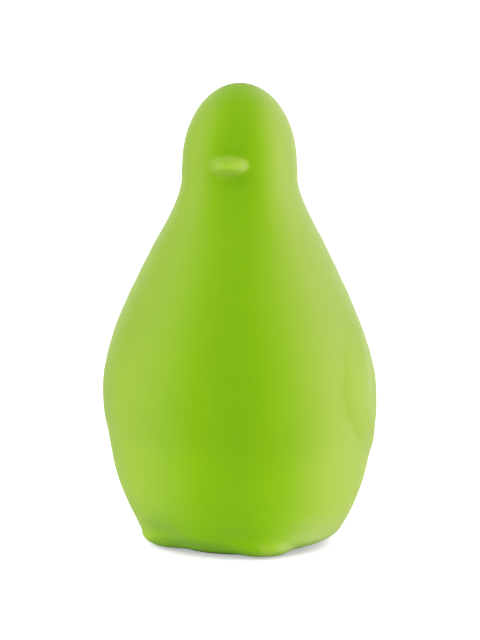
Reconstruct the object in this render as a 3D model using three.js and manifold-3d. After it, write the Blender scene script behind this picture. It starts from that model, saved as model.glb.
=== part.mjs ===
// Penguin desk figure with a weighted, screw-in base.
//
// A hollow, seamless moulded penguin stands on a rubber grip ring. A threaded
// collar is fixed in the opening under it, and a ballast cup screws into the
// collar. The cup holds steel discs on a centre post, a foam damper, and a lid
// held by one screw.
//
// Millimetres, +Z up. The desk plane is z = 0, the figure faces -Y, and the
// origin is the centre of its footprint. Angles round the body run from the front.

import * as THREE from 'three';
import { mergeVertices } from 'three/addons/utils/BufferGeometryUtils.js';
import Module from 'manifold-3d';

const wasm = await Module();
wasm.setup();

const { PI, sin, cos, sqrt, abs, atan2, min, max, exp } = Math;
const DEG = PI / 180;

// ------------------------------------------------------------ shared sizes
const AXIS_Y = 0.203;           // screw axis, behind the footprint's centre
const CLEARANCE = 0.3;          // radial, between fitted parts
const GAP = 0.1;                // axial, between stacked parts
const SEGMENTS = 40;            // facets round a turned piece

// ------------------------------------------------------------ body sizes
const OUTER_SIDES = 48;         // facets round the moulding's outside
const INNER_SIDES = 24;         // facets round its inside
const WALL = 3.0;
const SOLE_Z = 1.0;             // underside of the moulding
const HEAD = { z: 148.0, radius: 22.0, height: 30.9 };  // equator, and crown above it

// Powers of 2 give an ellipse: less is more pointed, more is squarer.
// The beak is turned towards +X.
const BEAK = {
  turn: 15.5, reach: 17.6, z: 148.8, width: 8.4, length: 10.6, height: 4.6,
  lengthPower: 1.4, sectionPower: 2.3, blunt: 0.14, blend: 0.95,
};
const FOOT = {
  splay: 45.9, reach: 19.7, z: 4.8, width: 14.6, length: 19.1, above: 8.6, below: 6.4,
  planPower: 2.1, edgePower: 1.92, blend: 1.6,
};
// the tail's centre line droops towards the back
const TAIL = {
  y: 35.0, z: 8.0, width: 10.5, length: 12.5, height: 5.6, droop: 0.42, blend: 8.0,
};
// the hem draws in between the feet and beside the front; widths in degrees
const ARCH = { width: 24.0, z: 4.2, height: 2.8, depth: 2.6 };
const INSTEP = { angle: 21.0, width: 12.0, z: 8.5, height: 4.0, depth: 1.3 };
// neck and head are a little squarer than round: power added over a span above z
const SQUARE = { turn: 22.0, power: 0.25, z: 112.0, span: 26.0 };
// low relief: ramp is the rounded border, drop the share lost behind it over fade
const FLIPPER = {
  lift: 2.2, soft: 5.0, ramp: 15.0, edge: 0.6,
  drop: 0.72, dropStart: 0.8, fade: 13.0,
  tipZ: 30.0, tipSpan: 22.0, topZ: 102, topSpan: 30,
};
// sampling of the profile's slope
const SLOPE = { step: 0.3, limit: 1.5 };

// seats and floor under the moulding
const OPENING_R = 20.2;         // hole in the floor
const FLOOR_Z = 7.5;            // inside of the floor
const FLOOR_R = 32.5;           // edge of the flat inside floor
const COUNTERBORE_R = 23.2;     // seat of the collar's flange
const COUNTERBORE_Z = 4.5;
const GROOVE_R = 25.7;          // seat of the grip ring
const GROOVE_Z = 1.8;

// rows of the moulding's mesh, from the crown down the outside
const CROWN_ANGLES = [80, 69, 57, 45, 34, 24, 15, 8, 3.5];  // degrees above the equator
const OUTER_HEIGHTS = [
  148, 146.6, 144.6, 142.4, 139, 134, 128, 121, 114, 107, 100, 93, 86, 79, 72, 65, 58,
  51.5, 46, 41.5, 38, 35, 32, 28, 23, 18, 14, 10.5, 8, 5.8, 4, 2.6, 1.6, SOLE_Z,
];
// and back up the inside
const INNER_HEIGHTS = [10, 16, 24, 34, 46, 58, 70, 82, 94, 106, 118, 130, 139, HEAD.z];
const INNER_CROWN_ANGLES = [30, 58, 78];

// search for the skin along a ray: from far to near, in equal steps
const BODY_SEARCH = { far: 64, near: 3, steps: 120 };
const CROWN_SEARCH = { far: 44, near: 10, steps: 100 };
const BISECTIONS = 24;

// [height, outside radius of the body]
const PROFILE = [
  [1.0, 28.6], [1.4, 30.3], [2.2, 32.9], [3.6, 36.3], [5.6, 38.9], [9.2, 41.05],
  [13.1, 43.12], [17.0, 44.88], [20.9, 46.44], [24.8, 47.83], [28.7, 48.93], [32.6, 49.82],
  [36.5, 50.47], [40.4, 51.17], [44.4, 51.71], [48.3, 52.47], [52.2, 52.91], [56.1, 53.08],
  [60.0, 53.11], [63.9, 52.93], [67.8, 52.52], [71.7, 51.72], [75.6, 50.84], [79.5, 49.67],
  [83.4, 48.48], [87.3, 47.07], [91.2, 45.44], [95.2, 43.68], [99.1, 41.97], [103.0, 39.95],
  [106.9, 38.2], [110.8, 36.17], [114.7, 34.23], [118.6, 32.22], [122.5, 30.0],
  [126.4, 27.93], [130.3, 25.97], [134.2, 24.28], [138.1, 23.0], [142.0, 22.28],
  [146.0, 22.24], [148.0, 22.0],
];
// [height, place of the body's centre line behind the screw axis]
const LEAN = [
  [0, 0.0], [12, 1.8], [25, 1.35], [42, 0.89], [60, -0.47], [80, -0.81],
  [100, -0.51], [118, 0.04], [128, 0.36], [146, 0.29], [180, 0.5],
];
// [height, depth of the body over its width]
const DEPTH = [[0, 1.0], [30, 0.985], [70, 0.975], [120, 0.985], [146, 1.0], [180, 1.0]];
// flipper edges: [height, degrees round from the front]
const FLIPPER_FRONT = [
  [29, 126], [32.5, 114], [35, 105], [38.5, 96], [43, 88], [48, 82.3], [52, 78.6], [56, 75.3],
  [61, 73.3], [66, 73.4], [71, 75.1], [77, 77], [84, 80.4], [95, 86], [104, 91],
];
const FLIPPER_REAR = [
  [29, 120], [32.5, 124], [35, 127], [38.5, 128.5], [43, 129], [50.3, 128],
  [60.5, 125.5], [70, 122], [84, 117], [95, 112], [104, 108],
];

// ------------------------------------------------------------ base sizes
const COLLAR = {
  flangeR: COUNTERBORE_R - CLEARANCE, topZ: COUNTERBORE_Z - GAP,
  skirtR: 21.3, skirtZ: 1.9, undersideZ: 3.0,
  barrelR: OPENING_R - CLEARANCE, barrelZ: 20.0, boreR: 18.3,
};
const GRIP_RING = { innerR: 21.5, outerR: GROOVE_R - CLEARANCE, bottom: 0, top: 1.65 };
const KEEPER = { innerR: 20.1, outerR: 24.4, bottom: 7.65, top: 9.2 };

const CUP = {
  flangeR: 20.9, bottomZ: 0.6, flangeZ: 2.0, chamfer: 0.5,
  coreR: 16.8, rimZ: 20.1, boreR: 14.2, floorZ: 2.6,
  postR: 3.0, postZ: 20.0, holeR: 1.2, holeZ: 9.0,
};
const SEAL = { innerR: 18.3, outerR: CUP.flangeR - CLEARANCE, bottom: 2.08, top: 2.92 };
const SLOT = { length: 26.0, width: 2.6, depth: 1.0, overcut: 1, arcSegments: 8 };

// root and crest are half heights of the ridge; sink buries its root in the wall
const THREAD = { pitch: 4.0, root: 1.0, crest: 0.6, sink: 0.3, stepsPerTurn: 24 };
const CUP_THREAD = { rootR: CUP.coreR - THREAD.sink, crestR: 18.0, startZ: 5.0, turns: 3.0 };
// half a pitch from the cup's ridge at the same angle
const COLLAR_THREAD = {
  rootR: COLLAR.boreR + THREAD.sink, crestR: 17.1,
  startZ: CUP_THREAD.startZ + THREAD.pitch / 2, turns: 2.5,
};

const DISC = { count: 3, innerR: 3.4, outerR: CUP.boreR - CLEARANCE, thickness: 5.0 };
const FOAM = { innerR: DISC.innerR, outerR: 13.8, bottom: 18.05, top: 19.9 };
const LID = { holeR: 1.7, outerR: 16.6, bottom: CUP.rimZ + GAP, top: 22.0, chamfer: 0.6 };
const WASHER = { innerR: 1.6, outerR: 3.3, bottom: LID.top + GAP, top: 22.6, segments: 32 };
const SCREW = {
  headR: 2.7, headBottom: WASHER.top + GAP, headTop: 24.4, sideHeight: 0.8,
  shoulderRatio: 0.8, shoulderDrop: 0.25, flatRatio: 0.45,
  shankR: 1.1, tipZ: 10.5, tipRatio: 0.4, tipLength: 1,
  crossRatio: 1.15, crossWidth: 0.75, crossDepth: 0.8, segments: 24,
};

// ------------------------------------------------------------ small maths
const clamp = (value, low, high) => min(max(value, low), high);
const smoothStep = (value) => {
  const t = clamp(value, 0, 1);
  return t * t * (3 - 2 * t);
};
const smoothMin = (a, b, blend) => {
  const h = clamp(0.5 + 0.5 * (b - a) / blend, 0, 1);
  return b * (1 - h) + a * h - blend * h * (1 - h);
};

// monotone cubic through a table of points
function curve(points) {
  const xs = points.map((point) => point[0]);
  const ys = points.map((point) => point[1]);
  const last = xs.length - 1;
  const spans = [];
  const slopes = [];
  for (let i = 0; i < last; i++) {
    spans.push(xs[i + 1] - xs[i]);
    slopes.push((ys[i + 1] - ys[i]) / spans[i]);
  }
  const tangents = [slopes[0]];
  for (let i = 1; i < last; i++) {
    const before = 2 * spans[i] + spans[i - 1];
    const after = spans[i] + 2 * spans[i - 1];
    tangents.push(slopes[i - 1] * slopes[i] <= 0
      ? 0
      : (before + after) / (before / slopes[i - 1] + after / slopes[i]));
  }
  tangents.push(slopes[last - 1]);
  return (value) => {
    const x = clamp(value, xs[0], xs[last]);
    let i = 0;
    while (i < last - 1 && x >= xs[i + 1]) i++;
    const t = (x - xs[i]) / spans[i];
    const t2 = t * t;
    const t3 = t2 * t;
    return (2 * t3 - 3 * t2 + 1) * ys[i] + (t3 - 2 * t2 + t) * spans[i] * tangents[i]
      + (-2 * t3 + 3 * t2) * ys[i + 1] + (t3 - t2) * spans[i] * tangents[i + 1];
  };
}
const radiusAt = curve(PROFILE);
const leanAt = curve(LEAN);
const depthAt = curve(DEPTH);
const flipperFront = curve(FLIPPER_FRONT);
const flipperRear = curve(FLIPPER_REAR);
const centreY = (z) => leanAt(z) + AXIS_Y;

// Distance-like values, negative inside. TINY keeps them finite at the centre.
const TINY = 1e-9;
function ellipsoid(x, y, z, rx, ry, rz) {
  const level = sqrt((x / rx) ** 2 + (y / ry) ** 2 + (z / rz) ** 2);
  const slope = sqrt((x / rx ** 2) ** 2 + (y / ry ** 2) ** 2 + (z / rz ** 2) ** 2) + TINY;
  return level * (level - 1) / slope;
}
// superellipsoid: one power rounds the section (a, b), the other closes it along
// the third axis c, and blunt flattens the ends of that axis
function superEllipsoid([a, b, c], [sizeA, sizeB, sizeC], sectionPower, endPower, blunt = 0) {
  const p = sectionPower;
  const q = endPower;
  const u = abs(a) / sizeA + TINY;
  const v = abs(b) / sizeB + TINY;
  const w = abs(c) / sizeC + TINY;
  const section = (u ** p + v ** p) ** (1 / p);
  const blunted = sqrt(section * section + blunt * blunt);
  const level = (blunted ** q + w ** q) ** (1 / q);
  const slope = (blunted / level) ** (q - 1) * section / blunted;
  const slopeA = slope * (u / section) ** (p - 1) / sizeA;
  const slopeB = slope * (v / section) ** (p - 1) / sizeB;
  const slopeC = (w / level) ** (q - 1) / sizeC;
  return (level - 1) / sqrt(slopeA * slopeA + slopeB * slopeB + slopeC * slopeC);
}

// ------------------------------------------------------------ body form
// how far the flipper stands out at an angle (degrees) and a height
function flipperRelief(angle, z, radius) {
  const f = FLIPPER;
  const arc = radius * DEG;
  const fromFront = (angle - flipperFront(z)) * arc;
  const fromRear = (flipperRear(z) - angle) * arc;
  const inset = smoothMin(fromFront, fromRear, f.soft);
  const rise = min((inset + sqrt(inset * inset + f.edge ** 2)) / (2 * f.ramp), 1);
  const fall = 1 - f.drop * smoothStep((fromFront - f.dropStart * f.ramp) / f.fade);
  const ends = smoothStep((f.topZ - z) / f.topSpan) * smoothStep((z - f.tipZ) / f.tipSpan);
  return f.lift * ends * (1 - (1 - rise) ** 2) * fall;
}
function hemDent(angle, z) {
  const arch = exp(-((angle / ARCH.width) ** 4) - ((z - ARCH.z) / ARCH.height) ** 2);
  const across = (angle - INSTEP.angle) / INSTEP.width;
  const instep = exp(-(across ** 2) - ((z - INSTEP.z) / INSTEP.height) ** 2);
  return ARCH.depth * arch + INSTEP.depth * instep;
}
// side is 1 for the +X foot, -1 for the -X foot
function foot(x, y, z, side) {
  const angle = side * FOOT.splay * DEG;
  const along = x * sin(angle) - y * cos(angle);
  const across = x * cos(angle) + y * sin(angle);
  const up = (z - FOOT.z) * (z < FOOT.z ? FOOT.above / FOOT.below : 1);
  return superEllipsoid([across, along - FOOT.reach, up],
    [FOOT.width, FOOT.length, FOOT.above], FOOT.planPower, FOOT.edgePower);
}
function beak(x, y, z) {
  const angle = BEAK.turn * DEG;
  const across = x * cos(angle) + y * sin(angle);
  const along = y * cos(angle) - x * sin(angle);
  return superEllipsoid([across, z - BEAK.z, along + BEAK.reach],
    [BEAK.width, BEAK.height, BEAK.length], BEAK.sectionPower, BEAK.lengthPower, BEAK.blunt);
}
function tail(x, y, z) {
  const along = y - TAIL.y;
  const up = z - (TAIL.z - TAIL.droop * along);
  return ellipsoid(x, along, up, TAIL.width, TAIL.length, TAIL.height);
}
// head, neck and belly, without beak, feet and tail
function torso(x, y, z) {
  const back = (y - centreY(z)) / depthAt(z);
  const turn = SQUARE.turn * DEG;
  const power = 2 + SQUARE.power * smoothStep((z - SQUARE.z) / SQUARE.span);
  const u = abs(x * cos(turn) + back * sin(turn)) + 1e-6;
  const v = abs(back * cos(turn) - x * sin(turn)) + 1e-6;
  const distance = (u ** power + v ** power) ** (1 / power);
  if (z >= HEAD.z) {
    return ellipsoid(distance, 0, z - HEAD.z, HEAD.radius, HEAD.radius, HEAD.height);
  }
  const radius = radiusAt(z);
  const rise = radiusAt(z + SLOPE.step) - radiusAt(z - SLOPE.step);
  const slope = clamp(rise / (2 * SLOPE.step), -SLOPE.limit, SLOPE.limit);
  const angle = atan2(abs(x), -back) / DEG;
  const relief = flipperRelief(angle, z, radius) - hemDent(angle, z);
  return (distance - radius - relief) / sqrt(1 + slope * slope);
}
function form(x, y, z) {
  const axial = y - AXIS_Y;
  let value = smoothMin(torso(x, y, z), beak(x, axial, z), BEAK.blend);
  for (const side of [1, -1]) value = smoothMin(value, foot(x, axial, z, side), FOOT.blend);
  return smoothMin(value, tail(x, axial, z), TAIL.blend);
}

// outermost crossing of the skin along a ray
function skinDistance(origin, direction, { far, near, steps }) {
  const isInside = (r) => form(...origin.map((start, i) => start + direction[i] * r)) < 0;
  const step = (far - near) / steps;
  let low = near;
  let high = far;
  for (let i = 0; i <= steps; i++) {
    const r = far - i * step;
    if (isInside(r)) {
      low = r;
      high = r + step;
      break;
    }
  }
  for (let i = 0; i < BISECTIONS; i++) {
    const middle = (low + high) / 2;
    if (isInside(middle)) low = middle;
    else high = middle;
  }
  return (low + high) / 2;
}
// ring of skin points seen from the centre line at z, at an elevation in degrees
function skinRing(z, elevation, search) {
  const origin = [0, centreY(z), z];
  const tilt = elevation * DEG;
  return Array.from({ length: OUTER_SIDES }, (_, j) => {
    const angle = 2 * PI * j / OUTER_SIDES;
    const direction = [sin(angle) * cos(tilt), -cos(angle) * cos(tilt), sin(tilt)];
    const r = skinDistance(origin, direction, search);
    return origin.map((start, i) => start + direction[i] * r);
  });
}
const ellipseRing = (radius, z, sides, y = AXIS_Y, ratio = 1) =>
  Array.from({ length: sides }, (_, j) => {
    const angle = 2 * PI * j / sides;
    return [radius * sin(angle), y - radius * cos(angle) * ratio, z];
  });

// ------------------------------------------------------------ geometry helpers
function indexed(positions, indices) {
  const geometry = new THREE.BufferGeometry();
  geometry.setAttribute('position', new THREE.Float32BufferAttribute(positions, 3));
  geometry.setIndex(indices);
  return geometry;
}
// closed skin from a pole, through rings, to a second pole; a ring may have half
// the points of the one before
function closedSkin(firstPole, rings, lastPole) {
  const positions = [firstPole, ...rings.flat(), lastPole].flat();
  const end = positions.length / 3 - 1;
  const indices = [];
  const firstCount = rings[0].length;
  for (let j = 0; j < firstCount; j++) indices.push(0, 1 + j, 1 + (j + 1) % firstCount);
  let from = 1;
  for (let i = 0; i < rings.length - 1; i++) {
    const count = rings[i].length;
    const nextCount = rings[i + 1].length;
    const to = from + count;
    for (let j = 0; j < nextCount; j++) {
      const b0 = to + j;
      const b1 = to + (j + 1) % nextCount;
      if (count === nextCount) {
        const a0 = from + j;
        const a1 = from + (j + 1) % count;
        indices.push(a0, b0, b1, a0, b1, a1);
      } else {
        const a0 = from + 2 * j;
        const a1 = a0 + 1;
        const a2 = from + (2 * j + 2) % count;
        indices.push(a0, b0, a1, a1, b0, b1, a1, b1, a2);
      }
    }
    from = to;
  }
  const lastCount = end - from;
  for (let j = 0; j < lastCount; j++) indices.push(from + j, end, from + (j + 1) % lastCount);
  return indexed(positions, indices);
}
// weld the points, drop collapsed triangles and turn every face outward
function tidy(source) {
  source.deleteAttribute('normal');
  source.deleteAttribute('uv');
  const geometry = mergeVertices(source, 1e-4);
  const index = geometry.index.array;
  const corners = [0, 1, 2].map(() => new THREE.Vector3());
  const kept = [];
  let volume = 0;
  for (let i = 0; i < index.length; i += 3) {
    const face = [index[i], index[i + 1], index[i + 2]];
    if (new Set(face).size < 3) continue;
    face.forEach((id, k) => corners[k].fromBufferAttribute(geometry.attributes.position, id));
    volume += corners[0].dot(corners[1].cross(corners[2]));
    kept.push(...face);
  }
  if (volume < 0) {
    for (let i = 0; i < kept.length; i += 3) {
      [kept[i + 1], kept[i + 2]] = [kept[i + 2], kept[i + 1]];
    }
  }
  geometry.setIndex(kept);
  return geometry;
}
function toSolid(source) {
  const geometry = tidy(source);
  return new wasm.Manifold(new wasm.Mesh({
    numProp: 3,
    vertProperties: new Float32Array(geometry.attributes.position.array),
    triVerts: new Uint32Array(geometry.index.array),
  }));
}
function toGeometry(solid) {
  const mesh = solid.getMesh();
  return indexed(mesh.vertProperties, new THREE.Uint32BufferAttribute(mesh.triVerts, 1));
}
// turned solid about the screw axis; points are [radius, height], and an outline
// that starts off the axis is closed
function turned(points, segments = SEGMENTS) {
  const outline = points[0][0] === 0 ? points : [...points, points[0]];
  const vectors = outline.map(([r, z]) => new THREE.Vector2(r, z));
  const geometry = new THREE.LatheGeometry(vectors, segments);
  geometry.rotateX(PI / 2);
  geometry.translate(0, AXIS_Y, 0);
  return tidy(geometry);
}
const flatRing = ({ innerR, outerR, bottom, top, segments }) => turned(
  [[innerR, bottom], [outerR, bottom], [outerR, top], [innerR, top]], segments);

// right-hand helical ridge of trapezoid section
function threadRidge({ rootR, crestR, startZ, turns }) {
  const { root, crest, pitch, stepsPerTurn } = THREAD;
  const section = [[rootR, -root], [crestR, -crest], [crestR, crest], [rootR, root]];
  const steps = Math.round(turns * stepsPerTurn);
  const positions = [];
  const indices = [];
  for (let i = 0; i <= steps; i++) {
    const angle = 2 * PI * i / stepsPerTurn;
    const z = startZ + pitch * i / stepsPerTurn;
    for (const [r, up] of section) {
      positions.push(r * cos(angle), AXIS_Y + r * sin(angle), z + up);
    }
  }
  for (let i = 0; i < steps; i++) {
    for (let k = 0; k < 4; k++) {
      const a = 4 * i + k;
      const b = 4 * i + (k + 1) % 4;
      indices.push(a, b, b + 4, a, b + 4, a + 4);
    }
  }
  const end = 4 * steps;
  indices.push(0, 2, 1, 0, 3, 2, end, end + 1, end + 2, end, end + 2, end + 3);
  return indexed(positions, indices);
}

// ------------------------------------------------------------ pieces
// outside from the crown to the sole, then the seats, then the inside
function bodyShell() {
  const headY = centreY(HEAD.z);
  const seats = [
    [GROOVE_R, SOLE_Z], [GROOVE_R, GROOVE_Z], [COUNTERBORE_R, GROOVE_Z],
    [COUNTERBORE_R, COUNTERBORE_Z], [OPENING_R, COUNTERBORE_Z], [OPENING_R, FLOOR_Z],
  ];
  const innerRing = (z) =>
    ellipseRing(radiusAt(z) - WALL, z, INNER_SIDES, centreY(z), depthAt(z));
  const innerCrownRing = (degrees) => {
    const radius = (HEAD.radius - WALL) * cos(degrees * DEG);
    const z = HEAD.z + (HEAD.height - WALL) * sin(degrees * DEG);
    return ellipseRing(radius, z, INNER_SIDES, headY);
  };
  const rings = [
    ...CROWN_ANGLES.map((degrees) => skinRing(HEAD.z, degrees, CROWN_SEARCH)),
    ...OUTER_HEIGHTS.map((z) => skinRing(z, 0, BODY_SEARCH)),
    ...seats.map(([radius, z]) => ellipseRing(radius, z, OUTER_SIDES)),
    ellipseRing(FLOOR_R, FLOOR_Z, INNER_SIDES, centreY(FLOOR_Z)),
    ...INNER_HEIGHTS.map(innerRing),
    ...INNER_CROWN_ANGLES.map(innerCrownRing),
  ];
  const crownZ = HEAD.z + HEAD.height;
  return closedSkin([0, headY, crownZ], rings, [0, headY, crownZ - WALL]);
}

function threadedCollar() {
  const c = COLLAR;
  const barrel = turned([
    [c.flangeR, c.skirtZ], [c.flangeR, c.topZ], [c.barrelR, c.topZ], [c.barrelR, c.barrelZ],
    [c.boreR, c.barrelZ], [c.boreR, c.undersideZ], [c.skirtR, c.undersideZ],
    [c.skirtR, c.skirtZ],
  ]);
  return toGeometry(toSolid(barrel).add(toSolid(threadRidge(COLLAR_THREAD))));
}

// round-ended slot across the cup's underside
function coinSlot() {
  const end = (SLOT.length - SLOT.width) / 2;
  const half = SLOT.width / 2;
  const shape = new THREE.Shape();
  shape.moveTo(-end, -half);
  shape.lineTo(end, -half);
  shape.absarc(end, 0, half, -PI / 2, PI / 2, false);
  shape.lineTo(-end, half);
  shape.absarc(-end, 0, half, PI / 2, 3 * PI / 2, false);
  const slot = new THREE.ExtrudeGeometry(shape, {
    depth: SLOT.depth + SLOT.overcut, bevelEnabled: false, curveSegments: SLOT.arcSegments,
  });
  slot.translate(0, AXIS_Y, CUP.bottomZ - SLOT.overcut);
  return slot;
}
function screwBase() {
  const c = CUP;
  const cup = turned([
    [0, c.bottomZ], [c.flangeR - c.chamfer, c.bottomZ], [c.flangeR, c.bottomZ + c.chamfer],
    [c.flangeR, c.flangeZ], [c.coreR, c.flangeZ], [c.coreR, c.rimZ - c.chamfer],
    [c.coreR - c.chamfer, c.rimZ], [c.boreR, c.rimZ], [c.boreR, c.floorZ],
    [c.postR, c.floorZ], [c.postR, c.postZ], [c.holeR, c.postZ], [c.holeR, c.holeZ],
    [0, c.holeZ],
  ]);
  const threaded = toSolid(cup).add(toSolid(threadRidge(CUP_THREAD)));
  return toGeometry(threaded.subtract(toSolid(coinSlot())));
}

function cupLid() {
  const { holeR, outerR, bottom, top, chamfer } = LID;
  return turned([
    [holeR, bottom], [outerR, bottom], [outerR, top - chamfer], [outerR - chamfer, top],
    [holeR, top],
  ]);
}

// domed head with a cross recess
function lidScrew() {
  const s = SCREW;
  let screw = toSolid(turned([
    [0, s.tipZ], [s.shankR * s.tipRatio, s.tipZ], [s.shankR, s.tipZ + s.tipLength],
    [s.shankR, s.headBottom], [s.headR, s.headBottom], [s.headR, s.headBottom + s.sideHeight],
    [s.headR * s.shoulderRatio, s.headTop - s.shoulderDrop],
    [s.headR * s.flatRatio, s.headTop], [0, s.headTop],
  ], s.segments));
  for (const angle of [0, PI / 2]) {
    const bar = new THREE.BoxGeometry(s.headR * s.crossRatio, s.crossWidth, 2 * s.crossDepth);
    bar.rotateZ(angle);
    bar.translate(0, AXIS_Y, s.headTop);
    screw = screw.subtract(toSolid(bar));
  }
  return toGeometry(screw);
}

// ------------------------------------------------------------ materials
const material = (options) => new THREE.MeshStandardMaterial(options);
const green = material({ color: 0x86b919, roughness: 0.55 });
const innerGreen = material({ color: 0x6f9c1c, roughness: 0.6 });
const rubber = material({ color: 0x739f1f, roughness: 0.85 });
const sealGrey = material({ color: 0x8b8f90, roughness: 0.85 });
const steel = material({ color: 0xa9adb0, roughness: 0.35, metalness: 1 });
const foam = material({ color: 0x55585a, roughness: 1 });
const brightSteel = material({ color: 0xc4c7ca, roughness: 0.28, metalness: 1 });

// ------------------------------------------------------------ assembly
const group = new THREE.Group();
function add(name, geometry, surface) {
  const mesh = new THREE.Mesh(geometry, surface);
  mesh.name = name;
  group.add(mesh);
}

add('body_shell', bodyShell(), green);
add('threaded_collar', threadedCollar(), innerGreen);
add('collar_keeper', flatRing(KEEPER), innerGreen);
add('grip_ring', flatRing(GRIP_RING), rubber);
add('base_seal', flatRing(SEAL), sealGrey);
add('screw_base', screwBase(), innerGreen);
for (let i = 0; i < DISC.count; i++) {
  const bottom = CUP.floorZ + GAP + i * (DISC.thickness + GAP);
  const disc = flatRing({ ...DISC, bottom, top: bottom + DISC.thickness });
  add(`ballast_disc_${i + 1}`, disc, steel);
}
add('foam_damper', flatRing(FOAM), foam);
add('cup_lid', cupLid(), innerGreen);
add('lid_washer', flatRing(WASHER), brightSteel);
add('lid_screw', lidScrew(), brightSteel);

export default group;
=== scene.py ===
"""A hollow bird figure with beak, flippers, feet and tail, on a ballasted screw-in base.

It stands on z = 0 and faces -Y, with its head turned a little towards +X and its tail at +Y.
Shapes are given in millimetres; materials, camera and lights are in metres.
"""

import math
from types import SimpleNamespace as Sizes

import bpy
import numpy as np
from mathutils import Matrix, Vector


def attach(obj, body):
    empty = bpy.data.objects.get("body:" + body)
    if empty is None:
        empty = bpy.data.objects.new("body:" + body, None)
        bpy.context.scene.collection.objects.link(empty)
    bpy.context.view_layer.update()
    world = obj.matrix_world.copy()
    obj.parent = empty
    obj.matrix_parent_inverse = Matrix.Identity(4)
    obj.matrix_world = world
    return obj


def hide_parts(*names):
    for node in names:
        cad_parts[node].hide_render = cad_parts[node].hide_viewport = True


PI = math.pi
scene = bpy.context.scene


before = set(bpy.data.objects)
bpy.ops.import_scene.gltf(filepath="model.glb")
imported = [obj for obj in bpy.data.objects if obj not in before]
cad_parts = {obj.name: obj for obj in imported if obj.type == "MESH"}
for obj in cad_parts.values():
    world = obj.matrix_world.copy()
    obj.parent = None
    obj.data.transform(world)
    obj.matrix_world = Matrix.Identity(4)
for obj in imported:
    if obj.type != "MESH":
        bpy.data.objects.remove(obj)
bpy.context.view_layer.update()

# ---------------------------------------------------------------- figure sizes, mm and degrees
AXIS_Y = 0.203  # the screw axis stands at x = 0 and this y
WALL = 3.0
SOLE_Z = 1.0
HEAD_Z, HEAD_R, HEAD_H = 148.0, 22.0, 30.9  # the crown is half an ellipsoid above HEAD_Z
# half_size is across, along, up; powers shape the solid (2 is round, 1 is pointed, more is boxy);
# blend is the width of the soft join to the body
BEAK = Sizes(turn=15.5, reach=17.6, z=148.8, half_size=(8.4, 10.6, 4.6), powers=(1.4, 2.3),
             tip=0.14, blend=0.95)
FOOT = Sizes(splay=45.9, reach=19.7, z=4.8, half_size=(14.6, 19.1, 8.6), half_height_below=6.4,
             powers=(2.1, 1.92), blend=1.6)
TAIL = Sizes(y=35.0, z=8.0, half_size=(10.5, 12.5, 5.6), fall=0.42, blend=8.0)
# dents low on the front; at and wide are degrees round from the front
ARCH = Sizes(wide=24.0, z=4.2, tall=2.8, deep=2.6)
INSTEP = Sizes(at=21.0, wide=12.0, z=8.5, tall=4.0, deep=1.3)
# the section gets squarer from this height up, over this distance
SQUARE = Sizes(turn=22.0, extra_power=0.25, z=112.0, over=26.0)
# a raised panel on each side: soft rounds its outline, ramp is the width of its shoulder,
# drop is the share of the lift lost behind the front edge, and the rest fade it up and down
FLIPPER = Sizes(lift=2.2, soft=5.0, ramp=15.0, edge=0.6, drop=0.72, drop_start=0.8, fade=13.0,
                tip=30.0, grow=22.0, top=102, top_fade=30, span=(28, 106))

# stepped opening in the underside, from the outer groove in to the cavity floor
GROOVE_R, GROOVE_Z = 25.7, 1.8
CBORE_R, CBORE_Z = 23.2, 4.5
OPENING_R, FLOOR_Z = 20.2, 7.5
CAVITY_FLOOR_R = 32.5

# height, radius
PROFILE = [
    (1.0, 28.6), (1.4, 30.3), (2.2, 32.9), (3.6, 36.3), (5.6, 38.9), (9.2, 41.05),
    (13.1, 43.12), (17.0, 44.88), (20.9, 46.44), (24.8, 47.83), (28.7, 48.93), (32.6, 49.82),
    (36.5, 50.47), (40.4, 51.17), (44.4, 51.71), (48.3, 52.47), (52.2, 52.91), (56.1, 53.08),
    (60.0, 53.11), (63.9, 52.93), (67.8, 52.52), (71.7, 51.72), (75.6, 50.84), (79.5, 49.67),
    (83.4, 48.48), (87.3, 47.07), (91.2, 45.44), (95.2, 43.68), (99.1, 41.97), (103.0, 39.95),
    (106.9, 38.2), (110.8, 36.17), (114.7, 34.23), (118.6, 32.22), (122.5, 30.0), (126.4, 27.93),
    (130.3, 25.97), (134.2, 24.28), (138.1, 23.0), (142.0, 22.28), (146.0, 22.24), (148.0, 22.0)]
# height, how far the section's centre lies behind the screw axis
LEAN = [(0, 0.0), (12, 1.8), (25, 1.35), (42, 0.89), (60, -0.47), (80, -0.81), (100, -0.51),
        (118, 0.04), (128, 0.36), (146, 0.29), (180, 0.5)]
# height, front-to-back size as a share of the width
DEPTH = [(0, 1.0), (30, 0.985), (70, 0.975), (120, 0.985), (146, 1.0), (180, 1.0)]
# height, degrees round from the front, of each flipper's front and rear edges
FLIPPER_FRONT = [
    (29, 126), (32.5, 114), (35, 105), (38.5, 96), (43, 88), (48, 82.3), (52, 78.6), (56, 75.3),
    (61, 73.3), (66, 73.4), (71, 75.1), (77, 77), (84, 80.4), (95, 86), (104, 91)]
FLIPPER_REAR = [
    (29, 120), (32.5, 124), (35, 127), (38.5, 128.5), (43, 129), (50.3, 128), (60.5, 125.5),
    (70, 122), (84, 117), (95, 112), (104, 108)]


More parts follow.
